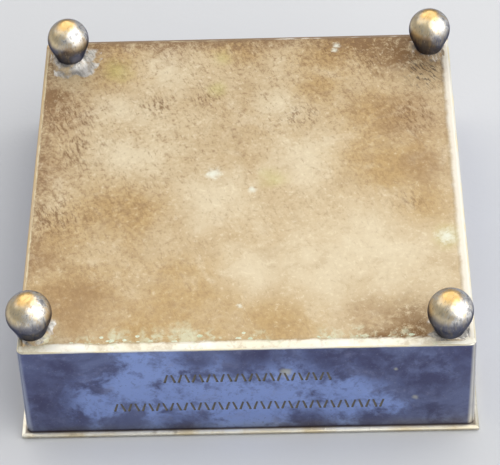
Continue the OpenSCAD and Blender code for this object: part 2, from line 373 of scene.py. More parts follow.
def wall_tarnish(m, mottle):
    """Slate-blue tarnish, its blue partly a painted reflection that is strongest on the front wall.
    Handling has kept the middle of each wall clean, and its ends went dark.
    """
    clouds = m.noise(0.075, 5, 0.62, 0.9, seed=11.0)
    grain = m.noise(2.2, 4, 0.6, seed=13.0)
    wobble = m.noise(0.16, 6, 0.62, 0.4, seed=14.0)
    rubbed = wall_spots(m, wobble, {
        "front": [(-8, 9.5, 14), (4, 10, 14), (13, 8, 10), (-17, 12, 9), (0, 5, 13), (-23, 7, 8),
                  (19, 6, 6)],
        "right": [(-12, 8, 10), (8, 11, 10), (20, 6, 7)],
        "rear": [(-15, 10, 10), (3, 7, 13), (18, 11, 8)],
        "left": [(-4, 9, 12), (14, 6, 9), (-20, 12, 7)],
    }, 1.0)
    smeared = wall_spots(m, wobble, {
        "front": [(1, 17.5, 7), (-7, 16.5, 4), (11, 17.5, 7), (-9, 1.5, 5), (8, 1.5, 5),
                  (26, 12.5, 8), (-29, 8, 7), (27.5, 4, 6), (19, 15, 6), (-26, 15, 5)],
        "right": [(-25, 12, 8), (0, 3, 6), (26, 10, 8), (12, 17, 5)],
        "rear": [(-27, 8, 8), (-4, 16, 6), (10, 3, 5), (27, 12, 7)],
        "left": [(-27, 10, 8), (5, 16, 6), (24, 12, 8), (-10, 2, 5)],
    }, 0.9)
    # Slate-blue base: tarnish, partly a painted blue reflection
    m.colour = m.mix(m.step(clouds, 0.36, 0.64), (0.096, 0.108, 0.218), (0.18, 0.218, 0.39))
    at_front = m.step(m.y, -OUTER_HALF + 1.6, -OUTER_HALF + 1.0)
    uneven = m.add(mottle, m.swing(clouds, 0.5))
    # Rubbed patches in a paler blue: clean metal with a painted blue reflection, bluest on the front
    # wall
    clean = m.step(m.add(m.times(rubbed, m.blend(at_front, 0.36, 0.42)), uneven), 0.58, 0.86)
    m.paint(clean, m.blend(at_front, 0.55, 0.88),
            m.mix(at_front, (0.27, 0.33, 0.55), (0.31, 0.42, 0.79)))
    m.paint(m.step(mottle, 0.53, 0.66), 0.55, (0.085, 0.085, 0.17))
    hazed = m.noise(0.25, 7, 0.68, 0.5, seed=12.5)
    m.paint(m.step(hazed, 0.54, 0.68), 0.45, (0.27, 0.30, 0.48))
    m.paint(m.step(grain, 0.56, 0.68), 0.35, (0.10, 0.10, 0.17))
    m.paint(m.times(smeared, m.step(mottle, 0.36, 0.56)), 0.80, (0.066, 0.067, 0.145))
    spotted = m.step(m.noise(0.5, 6, 0.7, seed=15.0), 0.62, 0.74)
    m.paint(spotted, 0.5, (0.20, 0.15, 0.10))
    m.paint(hairlines(m, 0, 16.0), 0.12, (0.55, 0.58, 0.66))
    specks = wall_spots(m, mottle, {
        "front": [(5.6, 13.3, 1.2), (23.8, 7.3, 0.8), (20.9, 13.5, 0.5)],
        "rear": [(-9.0, 5.0, 0.9)],
        "right": [(4.0, 13.0, 0.7)],
    }, 1.0)
    m.paint(specks, 0.7, (0.62, 0.62, 0.52))
    m.bump(m.noise(0.09, 2, 0.5, seed=18.0), 0.30)
    m.bump(mottle, 0.02)
    m.bump(grain, 0.006)


def wall_top(m, mottle):
    """The walls' back edge: a mask and a colour, pale in front and brown along the rear."""
    top = m.step(m.add(m.z, m.swing(mottle, 0.25)), CASING_TOP - 0.22, CASING_TOP - 0.05)
    patches = m.step(m.noise(0.25, 4, seed=17.0), 0.42, 0.6)
    colour = m.mix(patches, (0.80, 0.78, 0.72), (0.84, 0.77, 0.58))
    rear = m.step(m.add(m.y, mottle), OUTER_HALF - 1.2, OUTER_HALF - 0.6)
    colour = m.mix(m.times(rear, 0.85), colour, (0.22, 0.13, 0.07))
    left = m.times(m.step(m.x, -OUTER_HALF + 1.3, -OUTER_HALF + 0.9),
                   m.step(m.y, -OUTER_HALF + 2.0, -OUTER_HALF + 6.0))
    return top, m.mix(m.times(left, 0.8), colour, (0.50, 0.36, 0.19))


def wall_material():
    """The walls: tarnished outside, worn bright along every edge, with a painted highlight on the
    upright corners, and never plated inside.
    """
    m = Material("tarnished_silver_wall", metallic=0.85)
    mottle = m.noise(0.34, 8, 0.66, 0.3, seed=12.0)
    wall_tarnish(m, mottle)

    # Corners worn and given a painted highlight that is brighter on the right; the back edge; and the
    # dark line above the rim
    from_middle = m.math("MINIMUM", m.math("ABSOLUTE", m.x), m.math("ABSOLUTE", m.y))
    corner = m.step(from_middle, OUTER_HALF - 0.75, OUTER_HALF - 0.15)
    m.paint(corner, m.blend(mottle, 0.55, 1.1),
            m.mix(m.step(m.x, 0.0, 1.0), (0.38, 0.42, 0.56), (0.74, 0.72, 0.66)))
    top, top_colour = wall_top(m, mottle)
    m.paint(top, 1.0, top_colour)
    foot = m.step(m.add(m.z, m.times(mottle, 0.5)), WALL_FOOT + 0.75, WALL_FOOT + 0.25)
    m.paint(foot, 0.85, (0.06, 0.045, 0.05))

    # Depth below the wall's flat outside finds the cuts, filled with dirt, and the inside
    drop = m.math("SUBTRACT", CASING_TOP, m.z)
    flare = (FOOT_HALF - OUTER_HALF) / (CASING_TOP - WALL_FOOT)
    depth = m.math("SUBTRACT", m.math("MULTIPLY_ADD", drop, flare, OUTER_HALF), m.reach)
    flat = m.step(from_middle, OUTER_HALF - 0.8, OUTER_HALF - 1.2)
    cut = m.times(m.step(depth, 0.015, 0.05), flat)
    below_top = m.math("SUBTRACT", 1.0, top)
    m.paint(cut, below_top, (0.20, 0.185, 0.155))
    m.paint(m.step(depth, 0.40, 0.60), below_top,
            m.mix(m.step(mottle, 0.4, 0.7), (0.46, 0.31, 0.14), (0.25, 0.16, 0.08)))
    return m.done(m.math("MAXIMUM", m.blend(mottle, 0.22, 0.42), m.times(cut, 0.65)))


def rim_material():
    """The rim: worn pale, stained in patches and dark where it meets the walls."""
    m = Material("worn_rim", metallic=0.8)
    mottle = m.noise(0.35, 8, 0.65, seed=21.0)
    patches = m.noise(0.12, 4, 0.6, 0.6, seed=22.0)
    m.colour = m.mix(m.step(patches, 0.38, 0.60), (0.86, 0.83, 0.72), (0.74, 0.63, 0.42))
    m.paint(m.step(mottle, 0.54, 0.70), 0.7, (0.32, 0.25, 0.16))
    root = m.step(m.reach, RIM_HALF - 0.30, FOOT_HALF + 0.05)
    m.paint(root, 0.8, (0.10, 0.07, 0.06))
    m.bump(m.noise(0.8, 5, 0.6, seed=23.0), 0.05)
    m.bump(hairlines(m, 20, 24.0, 4.0), 0.02)
    return m.done(m.blend(mottle, 0.22, 0.45))


def ball_material():
    """Silver balls: bright where they are touched, brassy at the crown, with a painted warm reflection
    on the upper left and a painted dark, bluish reflection and shade below the middle.
    """
    # The blue-grey specular tint darkens the edges: a painted reflection of a dark blue surround.
    m = Material("silver_ball", metallic=1.0, Specular_Tint=(0.22, 0.25, 0.36, 1.0))
    low, high = box_mm("foot_front_left")
    top = high.z
    middle = top + CROWN_WEAR - (high.x - low.x) / 2
    mottle = m.noise(0.7, 8, 0.70, 0.4, seed=31.0)
    clouds = m.noise(0.28, 4, 0.6, 0.8, seed=32.0)
    streaks = m.noise(1.0, 4, 0.6, at=m.stretched((1.6, 1.6, 0.35)), seed=32.5)
    height = m.add(m.z, m.swing(clouds, 2.2))
    m.colour = m.mix(m.step(mottle, 0.40, 0.68), (0.92, 0.90, 0.86), (0.70, 0.67, 0.62))
    m.paint(m.step(streaks, 0.50, 0.60), 0.65, (0.80, 0.64, 0.40))
    m.paint(m.step(streaks, 0.47, 0.38), 0.65, (0.22, 0.22, 0.25))
    # A painted warm reflection on the upper left of each ball
    painted_warm_reflection = []
    for corner in CORNERS:
        cx, cy = foot_axis(corner)
        painted_warm_reflection.append(m.near((cx - 2.2, cy - 1.6, middle + 1.5), 3.4, 0.7, mottle))
    m.paint(m.most(painted_warm_reflection), 0.80, (0.84, 0.66, 0.36))
    # Painted dark, bluish reflection and shade on each ball below its middle
    under = m.step(height, middle + 1.5, middle - 0.1)
    m.paint(under, 0.90, (0.115, 0.12, 0.165))
    crown = m.step(m.add(m.z, m.swing(mottle, 0.8)), top - 0.55, top - 0.05)
    m.paint(crown, 0.85, (0.84, 0.53, 0.16))
    scratch = m.noise(1.0, 3, 0.6, at=m.stretched((5.0, 1.0, 1.4), 35), seed=33.0)
    marks = m.step(scratch, 0.56, 0.66)
    m.paint(marks, m.blend(under, 0.35, 0.10), (0.13, 0.115, 0.11))
    glints = m.noise(1.0, 3, 0.6, at=m.stretched((4.0, 1.2, 1.2), -20), seed=33.5)
    glints = m.times(m.step(glints, 0.58, 0.70), under)
    m.paint(glints, 0.7, (0.46, 0.43, 0.40))
    drawn = m.noise(1.0, 3, 0.6, at=m.stretched((2.2, 2.2, 0.30)), seed=36.0)
    drawn = m.times(m.step(drawn, 0.52, 0.62), under)
    m.paint(drawn, 0.6, (0.36, 0.32, 0.25))
    pits = m.step(m.noise(2.6, 3, 0.6, seed=34.0), 0.68, 0.76)
    m.paint(pits, 0.7, (0.09, 0.075, 0.07))
    m.bump(m.math("SUBTRACT", 1.0, marks), 0.012)
    m.bump(m.noise(0.5, 3, 0.5, seed=35.0), 0.07)
    m.bump(mottle, 0.012)
    return m.done(m.blend(mottle, 0.24, 0.42))


# How far each pool of solder runs out from its foot's axis, and how far it climbs the foot, in mm
POOLS = {"front_left": (3.4, 0.7), "front_right": (3.7, 0.7), "rear_right": (3.4, 0.6),
         "rear_left": (5.0, 0.8)}


def solder_material(name, pale, dull, brown, seed):
    """Solder: pale and dull streaks, brown flux stains, dark pits and painted shade round each ball's
    base, thinning into the back.
    """
    m = Material(name, metallic=0.8)
    back_roughness, back_metal = back_surface(m)
    back = m.colour
    mottle = m.noise(0.8, 8, 0.7, 0.5, seed=seed)
    clouds = m.noise(0.28, 5, 0.6, 0.6, seed=seed + 0.2)
    m.colour = m.mix(m.step(clouds, 0.36, 0.62), pale, dull)
    m.paint(m.step(mottle, 0.46, 0.66), 0.6, brown)
    drawn = m.noise(1.0, 4, 0.6, at=m.stretched((0.5, 2.6, 1.0), 62), seed=seed + 0.3)
    m.paint(m.step(drawn, 0.52, 0.62), 0.6, (0.90, 0.88, 0.84))
    m.paint(m.step(drawn, 0.47, 0.38), 0.5, (0.20, 0.19, 0.18))
    crevice = m.step(m.noise(1.4, 6, 0.7, seed=seed + 0.4), 0.62, 0.74)
    m.paint(crevice, 0.6, (0.08, 0.07, 0.06))
    ragged = m.noise(0.5, 4, 0.5, 0.4, seed=seed + 0.5)
    rings, runs = [], []
    for corner in CORNERS:
        foot = (*foot_axis(corner), CASING_TOP)
        rings.append(m.near(foot, 3.0, 0.40, mottle))
        runs.append(m.near(foot, 1.08 * POOLS[corner][0], 0.5, ragged))
    # Painted shade on the solder round each ball's base, under its overhang
    m.paint(m.most(rings), 0.80, (0.10, 0.095, 0.09))
    solid = m.step(m.most(runs), 0.0, 0.8)
    m.bump(mottle, 0.05)
    roughness = m.blend(solid, back_roughness, m.blend(mottle, 0.26, 0.52))
    m.colour = m.mix(solid, back, m.colour)
    return m.done(roughness, m.blend(solid, back_metal, 0.8))


def seam_material():
    """The solder drawn along the front edge: near white, stained, with a little verdigris."""
    m = Material("seam_solder", metallic=0.3)
    mottle = m.noise(0.55, 7, 0.68, 0.5, seed=46.0)
    clouds = m.noise(0.13, 4, 0.6, 0.5, seed=47.0)
    m.colour = m.mix(m.step(clouds, 0.36, 0.64), (0.96, 0.94, 0.86), (0.90, 0.84, 0.67))
    stained = m.step(m.add(mottle, m.swing(clouds, 0.6)), 0.50, 0.68)
    m.paint(stained, 0.50, (0.52, 0.41, 0.25))
    green = m.step(m.noise(0.7, 5, 0.6, seed=48.0), 0.58, 0.68)
    m.paint(green, 0.35, (0.55, 0.66, 0.42))
    seam = m.colour
    back_roughness, back_metal = back_surface(m)
    ragged = m.add(m.y, m.swing(mottle, 1.6))
    inward = m.step(ragged, -INNER_HALF + 0.25, -INNER_HALF + 0.85)
    m.bump(mottle, 0.04)
    roughness = m.blend(inward, m.blend(mottle, 0.30, 0.55), back_roughness)
    m.colour = m.mix(inward, seam, m.colour)
    return m.done(roughness, m.blend(inward, 0.3, back_metal))


def verdigris_material():
    """Powdery green crust, paler on its clumps."""
    m = Material("verdigris", roughness=0.9)
    clumps = m.noise(2.0, 6, 0.7, seed=51.0)
    m.colour = m.mix(m.step(clumps, 0.38, 0.62), (0.52, 0.58, 0.40), (0.78, 0.81, 0.66))
    m.bump(m.noise(6.0, 4, 0.6, seed=52.0), 0.04)
    return m.done()


def sheet_metal_material(name, bright, dull, stain, along, seed, metallic=0.9):
    """Drawn or rolled metal with a brushed grain along one axis (0, 1 or 2)."""
    m = Material(name, metallic=metallic)
    stretch = [3.0, 3.0, 3.0]
    stretch[along] = 0.15
    brushed = m.noise(1.0, 5, 0.6, at=m.stretched(tuple(stretch)), seed=seed)
    mottle = m.noise(0.3, 7, 0.65, 0.5, seed=seed + 0.3)
    m.colour = m.mix(m.times(m.step(mottle, 0.34, 0.62), 0.8), bright, dull)
    m.paint(m.step(brushed, 0.52, 0.66), 0.25, dull)
    m.paint(m.step(mottle, 0.56, 0.74), 0.6, stain)
    m.bump(brushed, 0.008)
    m.bump(mottle, 0.03)
    return m.done(m.blend(mottle, 0.20, 0.42))


# ---------------------------------------------------------------- wood, felt and paper


def wood_material():
    """Beech: growth rings about a pith below the block, short dark flecks, and ink in the edges."""
    m = Material("waxed_beech", roughness=0.5, Coat_Weight=0.15, Coat_Roughness=0.35)
    slow = m.vector("MULTIPLY", m.at, (0.02, 0.12, 0.12))
    wander = m.noise(1.0, 3, 0.5, at=slow, seed=61.0)
    pith = (0.0, 9.0, -38.0)
    across = m.vector("MULTIPLY", m.vector("SUBTRACT", m.at, pith), (0.0, 1.0, 1.0))
    radius = m.add(m.vector("LENGTH", across), m.times(wander, 5.0))
    ring = m.math("FRACT", m.times(radius, 0.55))
    late = m.times(m.step(ring, 0.45, 0.92), m.step(ring, 1.0, 0.94))
    fibre = m.noise(1.0, 4, 0.65, at=m.vector("MULTIPLY", m.at, (0.10, 4.0, 4.0)), seed=62.0)
    fleck = m.noise(1.0, 2, 0.5, at=m.vector("MULTIPLY", m.at, (0.9, 5.0, 5.0)), seed=63.0)
    m.colour = m.mix(m.times(late, 0.65), (0.50, 0.27, 0.115), (0.27, 0.125, 0.048))
    m.paint(m.step(fibre, 0.4, 0.7), 0.45, (0.36, 0.18, 0.07))
    m.paint(m.step(fleck, 0.62, 0.70), 0.7, (0.14, 0.065, 0.03))
    stain = m.step(m.noise(0.16, 5, 0.65, 0.7, seed=64.0), 0.60, 0.72)
    m.paint(stain, 0.6, (0.03, 0.03, 0.06))
    m.bump(fibre, 0.05)
    m.bump(m.math("SUBTRACT", 1.0, m.step(fleck, 0.62, 0.70)), 0.04)
    return m.done(m.blend(fibre, 0.38, 0.62))


def felt_material():
    """Green felt: pressed fuzz with a few paler fibres lying one way."""
    m = Material("green_felt", roughness=0.95, Sheen_Weight=0.5, Sheen_Roughness=0.5)
    fuzz = m.noise(2.4, 8, 0.78, 1.2, seed=71.0)
    fibres = m.noise(1.0, 4, 0.7, 2.0, at=m.stretched((1.2, 4.0, 3.0), 30), seed=72.0)
    m.colour = m.mix(m.step(fuzz, 0.35, 0.68), (0.035, 0.105, 0.055), (0.10, 0.21, 0.11))
    m.paint(m.step(fibres, 0.56, 0.70), 0.5, (0.20, 0.30, 0.18))
    m.bump(fuzz, 0.16)
    m.bump(fibres, 0.10)
    return m.done()


def paper_material(name, light, shade, inked, seed):
    """Blotting paper: soft, fibrous and unsized. inked adds blots, and writing on the face."""
    m = Material(name, roughness=0.95, Sheen_Weight=0.2, Sheen_Roughness=0.6)
    pulp = m.noise(1.3, 8, 0.72, 0.8, seed=seed)
    clouds = m.noise(0.10, 4, 0.6, seed=seed + 0.2)
    fibres = m.noise(1.0, 3, 0.6, 1.5, at=m.stretched((0.8, 5.0, 5.0), 25), seed=seed + 0.4)
    m.colour = m.mix(m.step(pulp, 0.32, 0.70), light, shade)
    m.paint(m.step(clouds, 0.45, 0.75), 0.35, (0.62, 0.47, 0.32))
    m.paint(m.step(fibres, 0.60, 0.72), 0.35, (0.93, 0.88, 0.80))
    if inked:
        feather = m.noise(0.9, 7, 0.75, 0.6, seed=seed + 0.6)
        blots = [(-17, -9, 0, 3.4), (6, 14, 0, 2.2), (19, -18, 0, 4.0), (-5, 3, 0, 1.6), (24, 9, 0, 1.8),
                 (-24, 17, 0, 2.6), (12, -4, 0, 1.2), (-9, -21, 0, 1.5), (-12, -30.5, 4, 1.5),
                 (17, -30.5, 2, 2.2), (21, 30.5, 3, 2.0)]
        blot = m.most([m.near((x, y, z), r * 1.3, 0.5, feather) for x, y, z, r in blots])
        lines = m.noise(1.0, 3, 0.6, 1.0, at=m.stretched((0.5, 0.9, 0.2), 4), seed=seed + 0.8)
        stroke = m.math("ABSOLUTE", m.add(lines, -0.5))
        written = m.times(m.step(stroke, 0.012, 0.004), m.step(clouds, 0.42, 0.55))
        written = m.times(written, m.step(m.z, 0.9, 0.3))
        ink = m.most([blot, m.times(written, 0.7)])
        m.paint(ink, 0.85, (0.022, 0.030, 0.115))
    m.bump(pulp, 0.05)
    m.bump(fibres, 0.04)
    return m.done()


# ---------------------------------------------------------------- mesh building


def new_piece(name, points, faces, material, body, stands_for=()):
    """Makes a smooth-shaded piece from points in millimetres, riding on a body."""
    mesh = bpy.data.meshes.new(name)
    mesh.from_pydata([tuple(c * MM for c in p) for p in points], [], faces)
    mesh.validate()
    tidy = bmesh.new()
    tidy.from_mesh(mesh)
    bmesh.ops.recalc_face_normals(tidy, faces=tidy.faces)
    tidy.to_mesh(mesh)
    tidy.free()
    mesh.shade_smooth()
    piece = bpy.data.objects.new(name, mesh)
    bpy.context.scene.collection.objects.link(piece)
    mesh.materials.append(material)
    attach(piece, body)
    if stands_for:
        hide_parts(*stands_for)
    return piece


def ring_faces(rings, around, closed=True):
    """Quads between successive rings of points, each ring having around points."""
    faces = []
    for j in range(rings - 1):
        for i in range(around if closed else around - 1):
            k = (i + 1) % around
            faces.append((j * around + i, j * around + k, (j + 1) * around + k, (j + 1) * around + i))
    return faces


def straight(start, end, count):
    """count points on the way from start to end, without end itself."""
    return [(start[0] + (end[0] - start[0]) * i / count, start[1] + (end[1] - start[1]) * i / count)
            for i in range(count)]


def bend(centre, radius, start, count):
    """count points clockwise round a quarter circle from start degrees, without its last one."""
    turns = [math.radians(start - 90 * i / count) for i in range(count)]
    return [(centre[0] + radius * math.cos(turn), centre[1] + radius * math.sin(turn))
            for turn in turns]


def slab_faces(rows, across):
    """Faces of a closed slab from a grid of points, rows by across, followed by a second one."""
    shift = rows * across
    faces = ring_faces(rows, across, closed=False)
    faces += [tuple(shift + i for i in reversed(face)) for face in faces]
    for j in range(rows - 1):
        a, b = j * across, (j + 1) * across
        faces.append((a, b, shift + b, shift + a))
        a, b = a + across - 1, b + across - 1
        faces.append((b, a, shift + a, shift + b))
    for first in (0, shift - across):
        for i in range(first, first + across - 1):
            faces.append((i, i + 1, shift + i + 1, shift + i))
    return faces


def lump(point, size, seed):
    """Smooth noise from -1 to 1, with features of about size mm."""
    return noise.noise(Vector(point) / size + Vector((seed, seed * 1.7, seed * 0.6)))


def soften(node, width, chosen=None, segments=3):
    """Rounds a CAD node's hard edges. chosen(a, b) picks an edge by its ends, in millimetres."""
    shape = nodes[node]
    weld = shape.modifiers.new("weld", "WELD")
    weld.merge_threshold = 0.0005 * MM
    bevel = shape.modifiers.new("bevel", "BEVEL")
    bevel.width = width * MM
    bevel.segments = segments
    bevel.use_clamp_overlap = True
    if chosen is None:
        bevel.limit_method = "ANGLE"
        bevel.angle_limit = math.radians(38)
    else:
        bevel.limit_method = "WEIGHT"
        # The frame's meshes are split along hard edges, so only a hard edge has a single face
        mesh = shape.data
        uses = [0] * len(mesh.edges)
        for loop in mesh.loops:
            uses[loop.edge_index] += 1
        weight = mesh.attributes.new("bevel_weight_edge", "FLOAT", "EDGE")
        for edge in mesh.edges:
            ends = [mesh.vertices[i].co / MM for i in edge.vertices]
            if uses[edge.index] == 1 and chosen(*ends):
                weight.data[edge.index].value = 1.0
    for polygon in shape.data.polygons:
        polygon.use_smooth = True
    normals = shape.modifiers.new("normals", "WEIGHTED_NORMAL")
    normals.keep_sharp = False
    normals.weight = 80


def dress(node, material):
    """Gives a CAD node one material."""
    shape = nodes[node]
    shape.data.materials.clear()
    shape.data.materials.append(material)


# ---------------------------------------------------------------- ball feet and their solder


def ball_foot(corner, material, seed):
    """A cast ball that tapers to its base like an acorn, dented, and worn flat on top."""
    low, high = box_mm("foot_" + corner)
    cx, cy = foot_axis(corner)
    dent_room = 0.03
    radius = (high.x - low.x) / 2 - dent_room
    centre = high.z + CROWN_WEAR - radius
    base = 2.02
    reach = math.hypot(base, centre - low.z)
    taper = math.acos(radius / reach) - math.atan2(centre - low.z, base)
    around, cone, up = 96, 16, 64
    # The cone's straight side meets the ball where its slope is the same
    seam = (radius * math.cos(taper), centre + radius * math.sin(taper))
    rings = straight((base, low.z), seam, cone)
    last = math.pi / 2 - 0.02
    for j in range(up):
        angle = taper + (last - taper) * j / (up - 1)
        rings.append((radius * math.cos(angle), centre + radius * math.sin(angle)))
    points = []
    for r, z in rings:
        for i in range(around):
            turn = 2 * math.pi * i / around
            outward = Vector((math.cos(turn), math.sin(turn), 0))
            p = Vector((cx, cy, z)) + outward * r
            dent = 0.045 * lump(p, 2.4, seed) + 0.018 * lump(p, 0.9, seed + 5)
            p += outward * r / radius * (dent - 0.05)
            p.z = min(p.z, high.z - 0.008 + 0.008 * lump(p, 0.6, seed + 9))
            points.append(p)
    faces = ring_faces(len(rings), around)
    faces.append(tuple(range(around)))
    faces.append(tuple(len(points) - around + i for i in range(around)))
    new_piece("ball_foot_" + corner, points, faces, material, "casing",
              ["foot_" + corner])


def seat_height(x, y):
    """Height of the casing's back under a point: the sunk plate, or the walls' edge round it."""
    reach = max(abs(x), abs(y))
    t = min(1.0, max(0.0, (reach - INNER_HALF + 0.12) / 0.24))
    return PLATE_TOP + (CASING_TOP - PLATE_TOP) * t * t * (3 - 2 * t)


def solder_pool(corner, material, run, rise, seed):
    """Solder that has climbed the foot's base and run out unevenly, as far as the walls' edge."""
    cx, cy = foot_axis(corner)
    around, out = 144, 44
    inner = 2.0
    limit = INNER_HALF + 0.25
    top, bottom = [], []
    for j in range(out):
        t = j / (out - 1)
        for i in range(around):
            turn = 2 * math.pi * i / around
            way = Vector((math.cos(turn), math.sin(turn), 0))
            waver = 0.20 * lump(way * 2.0, 1.3, seed) + 0.05 * lump(way * 2.0, 0.5, seed + 3)
            edge = 1.15 * run * (1 + waver)
            for along, start in ((way.x, cx), (way.y, cy)):
                if abs(along) > 1e-6:
                    edge = min(edge, (math.copysign(limit, along) - start) / along)
            edge = max(edge, inner + 0.1)
            r = inner + (edge - inner) * t
            x, y = cx + way.x * r, cy + way.y * r
            seat = seat_height(x, y)
            climb = max(0.0, 1 - (r - inner) / 1.5) ** 2.2
            puddle = 0.075 * (1 - t * t) ** 1.5
            rough = 0.05 * lump((x, y, 0), 1.5, seed + 7) + 0.015 * lump((x, y, 0), 0.5, seed + 8)
            fade = min(1.0, 2 * (1 - t)) * (1 - climb)
            top.append((x, y, seat - 0.012 + rise * climb + puddle + rough * fade))
            bottom.append((x, y, seat - 0.06))
    shift = len(top)
    faces = ring_faces(out, around)
    faces += [tuple(shift + i for i in reversed(face)) for face in faces]
    last = (out - 1) * around
    for i in range(around):
        k = (i + 1) % around
        faces.append((last + i, last + k, shift + last + k, shift + last + i))
        faces.append((k, i, shift + i, shift + k))
    new_piece("solder_pool_" + corner, top + bottom, faces, material, "casing",
              ["solder_" + corner])


def seam_roll(side, material, width, high, seed):
    """Solder rounded over the edge of one wall and down on to the back plate beside it."""
    turn = side_turn(side)
    end = OUTER_HALF - 0.22
    count, across = 280, 15
    top, bottom = [], []
    for j in range(count):
        x = -end + 2 * end * j / (count - 1)
        run = width * (1 + 0.45 * lump((x, 0, 0), 5.0, seed) + 0.20 * lump((x, 0, 0), 1.1, seed + 2))
        run = max(0.10, run)
        tip = min(1.0, (end - abs(x)) / 1.2)
        past_corner = max(0.0, abs(x) - OUTER_HALF + CORNER_R)
        inset = CORNER_R - math.sqrt(CORNER_R ** 2 - past_corner ** 2)
        for i in range(across):
            t = i / (across - 1)
            y = -OUTER_HALF + 0.03 + inset + (WALL_T - inset + run) * t
            past = max(0.0, y + INNER_HALF) / run
            seat = CASING_TOP - (CASING_TOP - PLATE_TOP) * (past * past * (3 - 2 * past))
            crown = math.sin(math.pi * t) ** 0.8 * high * (0.3 + 0.7 * tip)
            z = seat + crown * (1 + 0.3 * lump((x, t, 0), 1.2, seed + 4)) - 0.02
            z -= 0.14 * max(0.0, 1 - t * 7) ** 2
            top.append(turn @ Vector((x, y, z)))
            bottom.append(turn @ Vector((x, y, min(seat, CASING_TOP - 0.02) - 0.22)))
    new_piece("seam_solder_" + side, top + bottom, slab_faces(count, across), material,
              "casing")


def crust_points(cx, cy, size, high, around, out):
    """One low dome on the back, its edge uneven, as rings of points from outside in."""
    points = []
    for j in range(out):
        t = 1 - j / out
        for i in range(around):
            turn = 2 * math.pi * i / around
            way = Vector((math.cos(turn), 0.7 * math.sin(turn), 0))
            r = size * t * (1 + 0.35 * lump(way * 2, 0.8, cx))
            x, y = cx + way.x * r, cy + way.y * r
            dome = high * (1 - t * t) * (1 + 0.4 * lump((x, y, 0), 0.12, 3))
            points.append((x, y, seat_height(x, y) - 0.02 + dome))
    return points


def verdigris_crust(material):
    """Low green crusts along the seam between the back plate and the front wall."""
    draw = random.Random(7)
    around, out = 18, 6
    points, faces = [], []
    for cluster in (-25.5, -22.5, -19.0, -16.5, -13.5, -8.0, -5.5, -1.0, 11.5, 15.5, 21.0):
        for _ in range(draw.randint(3, 7)):
            cx = cluster + draw.gauss(0, 1.0)
            cy = -INNER_HALF + abs(draw.gauss(0, 0.8)) + 0.2
            size = draw.uniform(0.2, 0.75)
            high = draw.uniform(0.02, 0.05)
            first = len(points)
            points += crust_points(cx, cy, size, high, around, out)
            faces += [tuple(first + i for i in face) for face in ring_faces(out, around)]
            faces.append(tuple(len(points) - around + i for i in range(around)))
            faces.append(tuple(first + i for i in reversed(range(around))))
    new_piece("verdigris_crust", points, faces, material, "casing")


# ---------------------------------------------------------------- felt and paper


def fold_path(offset, radius, flap_in, steps=10):
    """Outline of a sheet folded round the block, as (y, z) from one flap's end to the other's."""
    half = BLOCK_HIGH.y + offset
    low, high = FELT_LOW.z - offset, BLOCK_HIGH.z + offset
    r = radius + offset
    return [
        *straight((half - flap_in, high), (half - r, high), 16),
        *bend((half - r, high - r), r, 90, steps),
        *straight((half, high - r), (half, low + r), 14),
        *bend((half - r, low + r), r, 0, steps),
        *straight((half - r, low), (-half + r, low), 70),
        *bend((-half + r, low + r), r, -90, steps),
        *straight((-half, low + r), (-half, high - r), 14),
        *bend((-half + r, high - r), r, 180, steps),
        *straight((-half + r, high), (-half + flap_in, high), 16),
        (-half + flap_in, high),
    ]


def blotting_sheet(name, node, layer, material, seed):
    """One sheet with soft torn edges, folded round the felt and the block. layer 0 is inside."""
    thick = SHEET_T - 0.08
    gap = SHEET_T * layer + 0.04
    flap_in = FLAP + gap
    inner = fold_path(gap, FOLD_R, flap_in)
    outer = fold_path(gap + thick, FOLD_R, flap_in + thick)
    half = box_mm(node)[1].x - 0.12
    across = 80
    points = []
    for side, path in enumerate((inner, outer)):
        for j, (y, z) in enumerate(path):
            end = min(j, len(path) - 1 - j) / 12
            for i in range(across + 1):
                u = -1 + 2 * i / across
                fray = 0.10 * lump((j * 0.5, u, 0), 1.4, seed) + 0.05 * lump((j, u, 1), 0.5, seed)
                x = u * half + fray * u ** 8
                pulp = 0.015 * lump((x, y, z), 0.7, seed + 2 + side)
                lift = ragged = 0.0
                if end < 1:
                    lift = 0.03 * (1 - end) ** 2 * (0.5 + 0.5 * lump((x, y, 0), 14, seed + 4))
                    ragged = (0.22 * lump((x, 0, 0), 3.0, seed + 6)
                              + 0.08 * lump((x, 0, 0), 0.6, seed + 7)) * (1 - end) ** 4
                points.append((x, y + ragged * math.copysign(1, y), z + lift + pulp))
    faces = slab_faces(len(inner), across + 1)
    sheet = new_piece(name, points, faces, material, "block", [node])


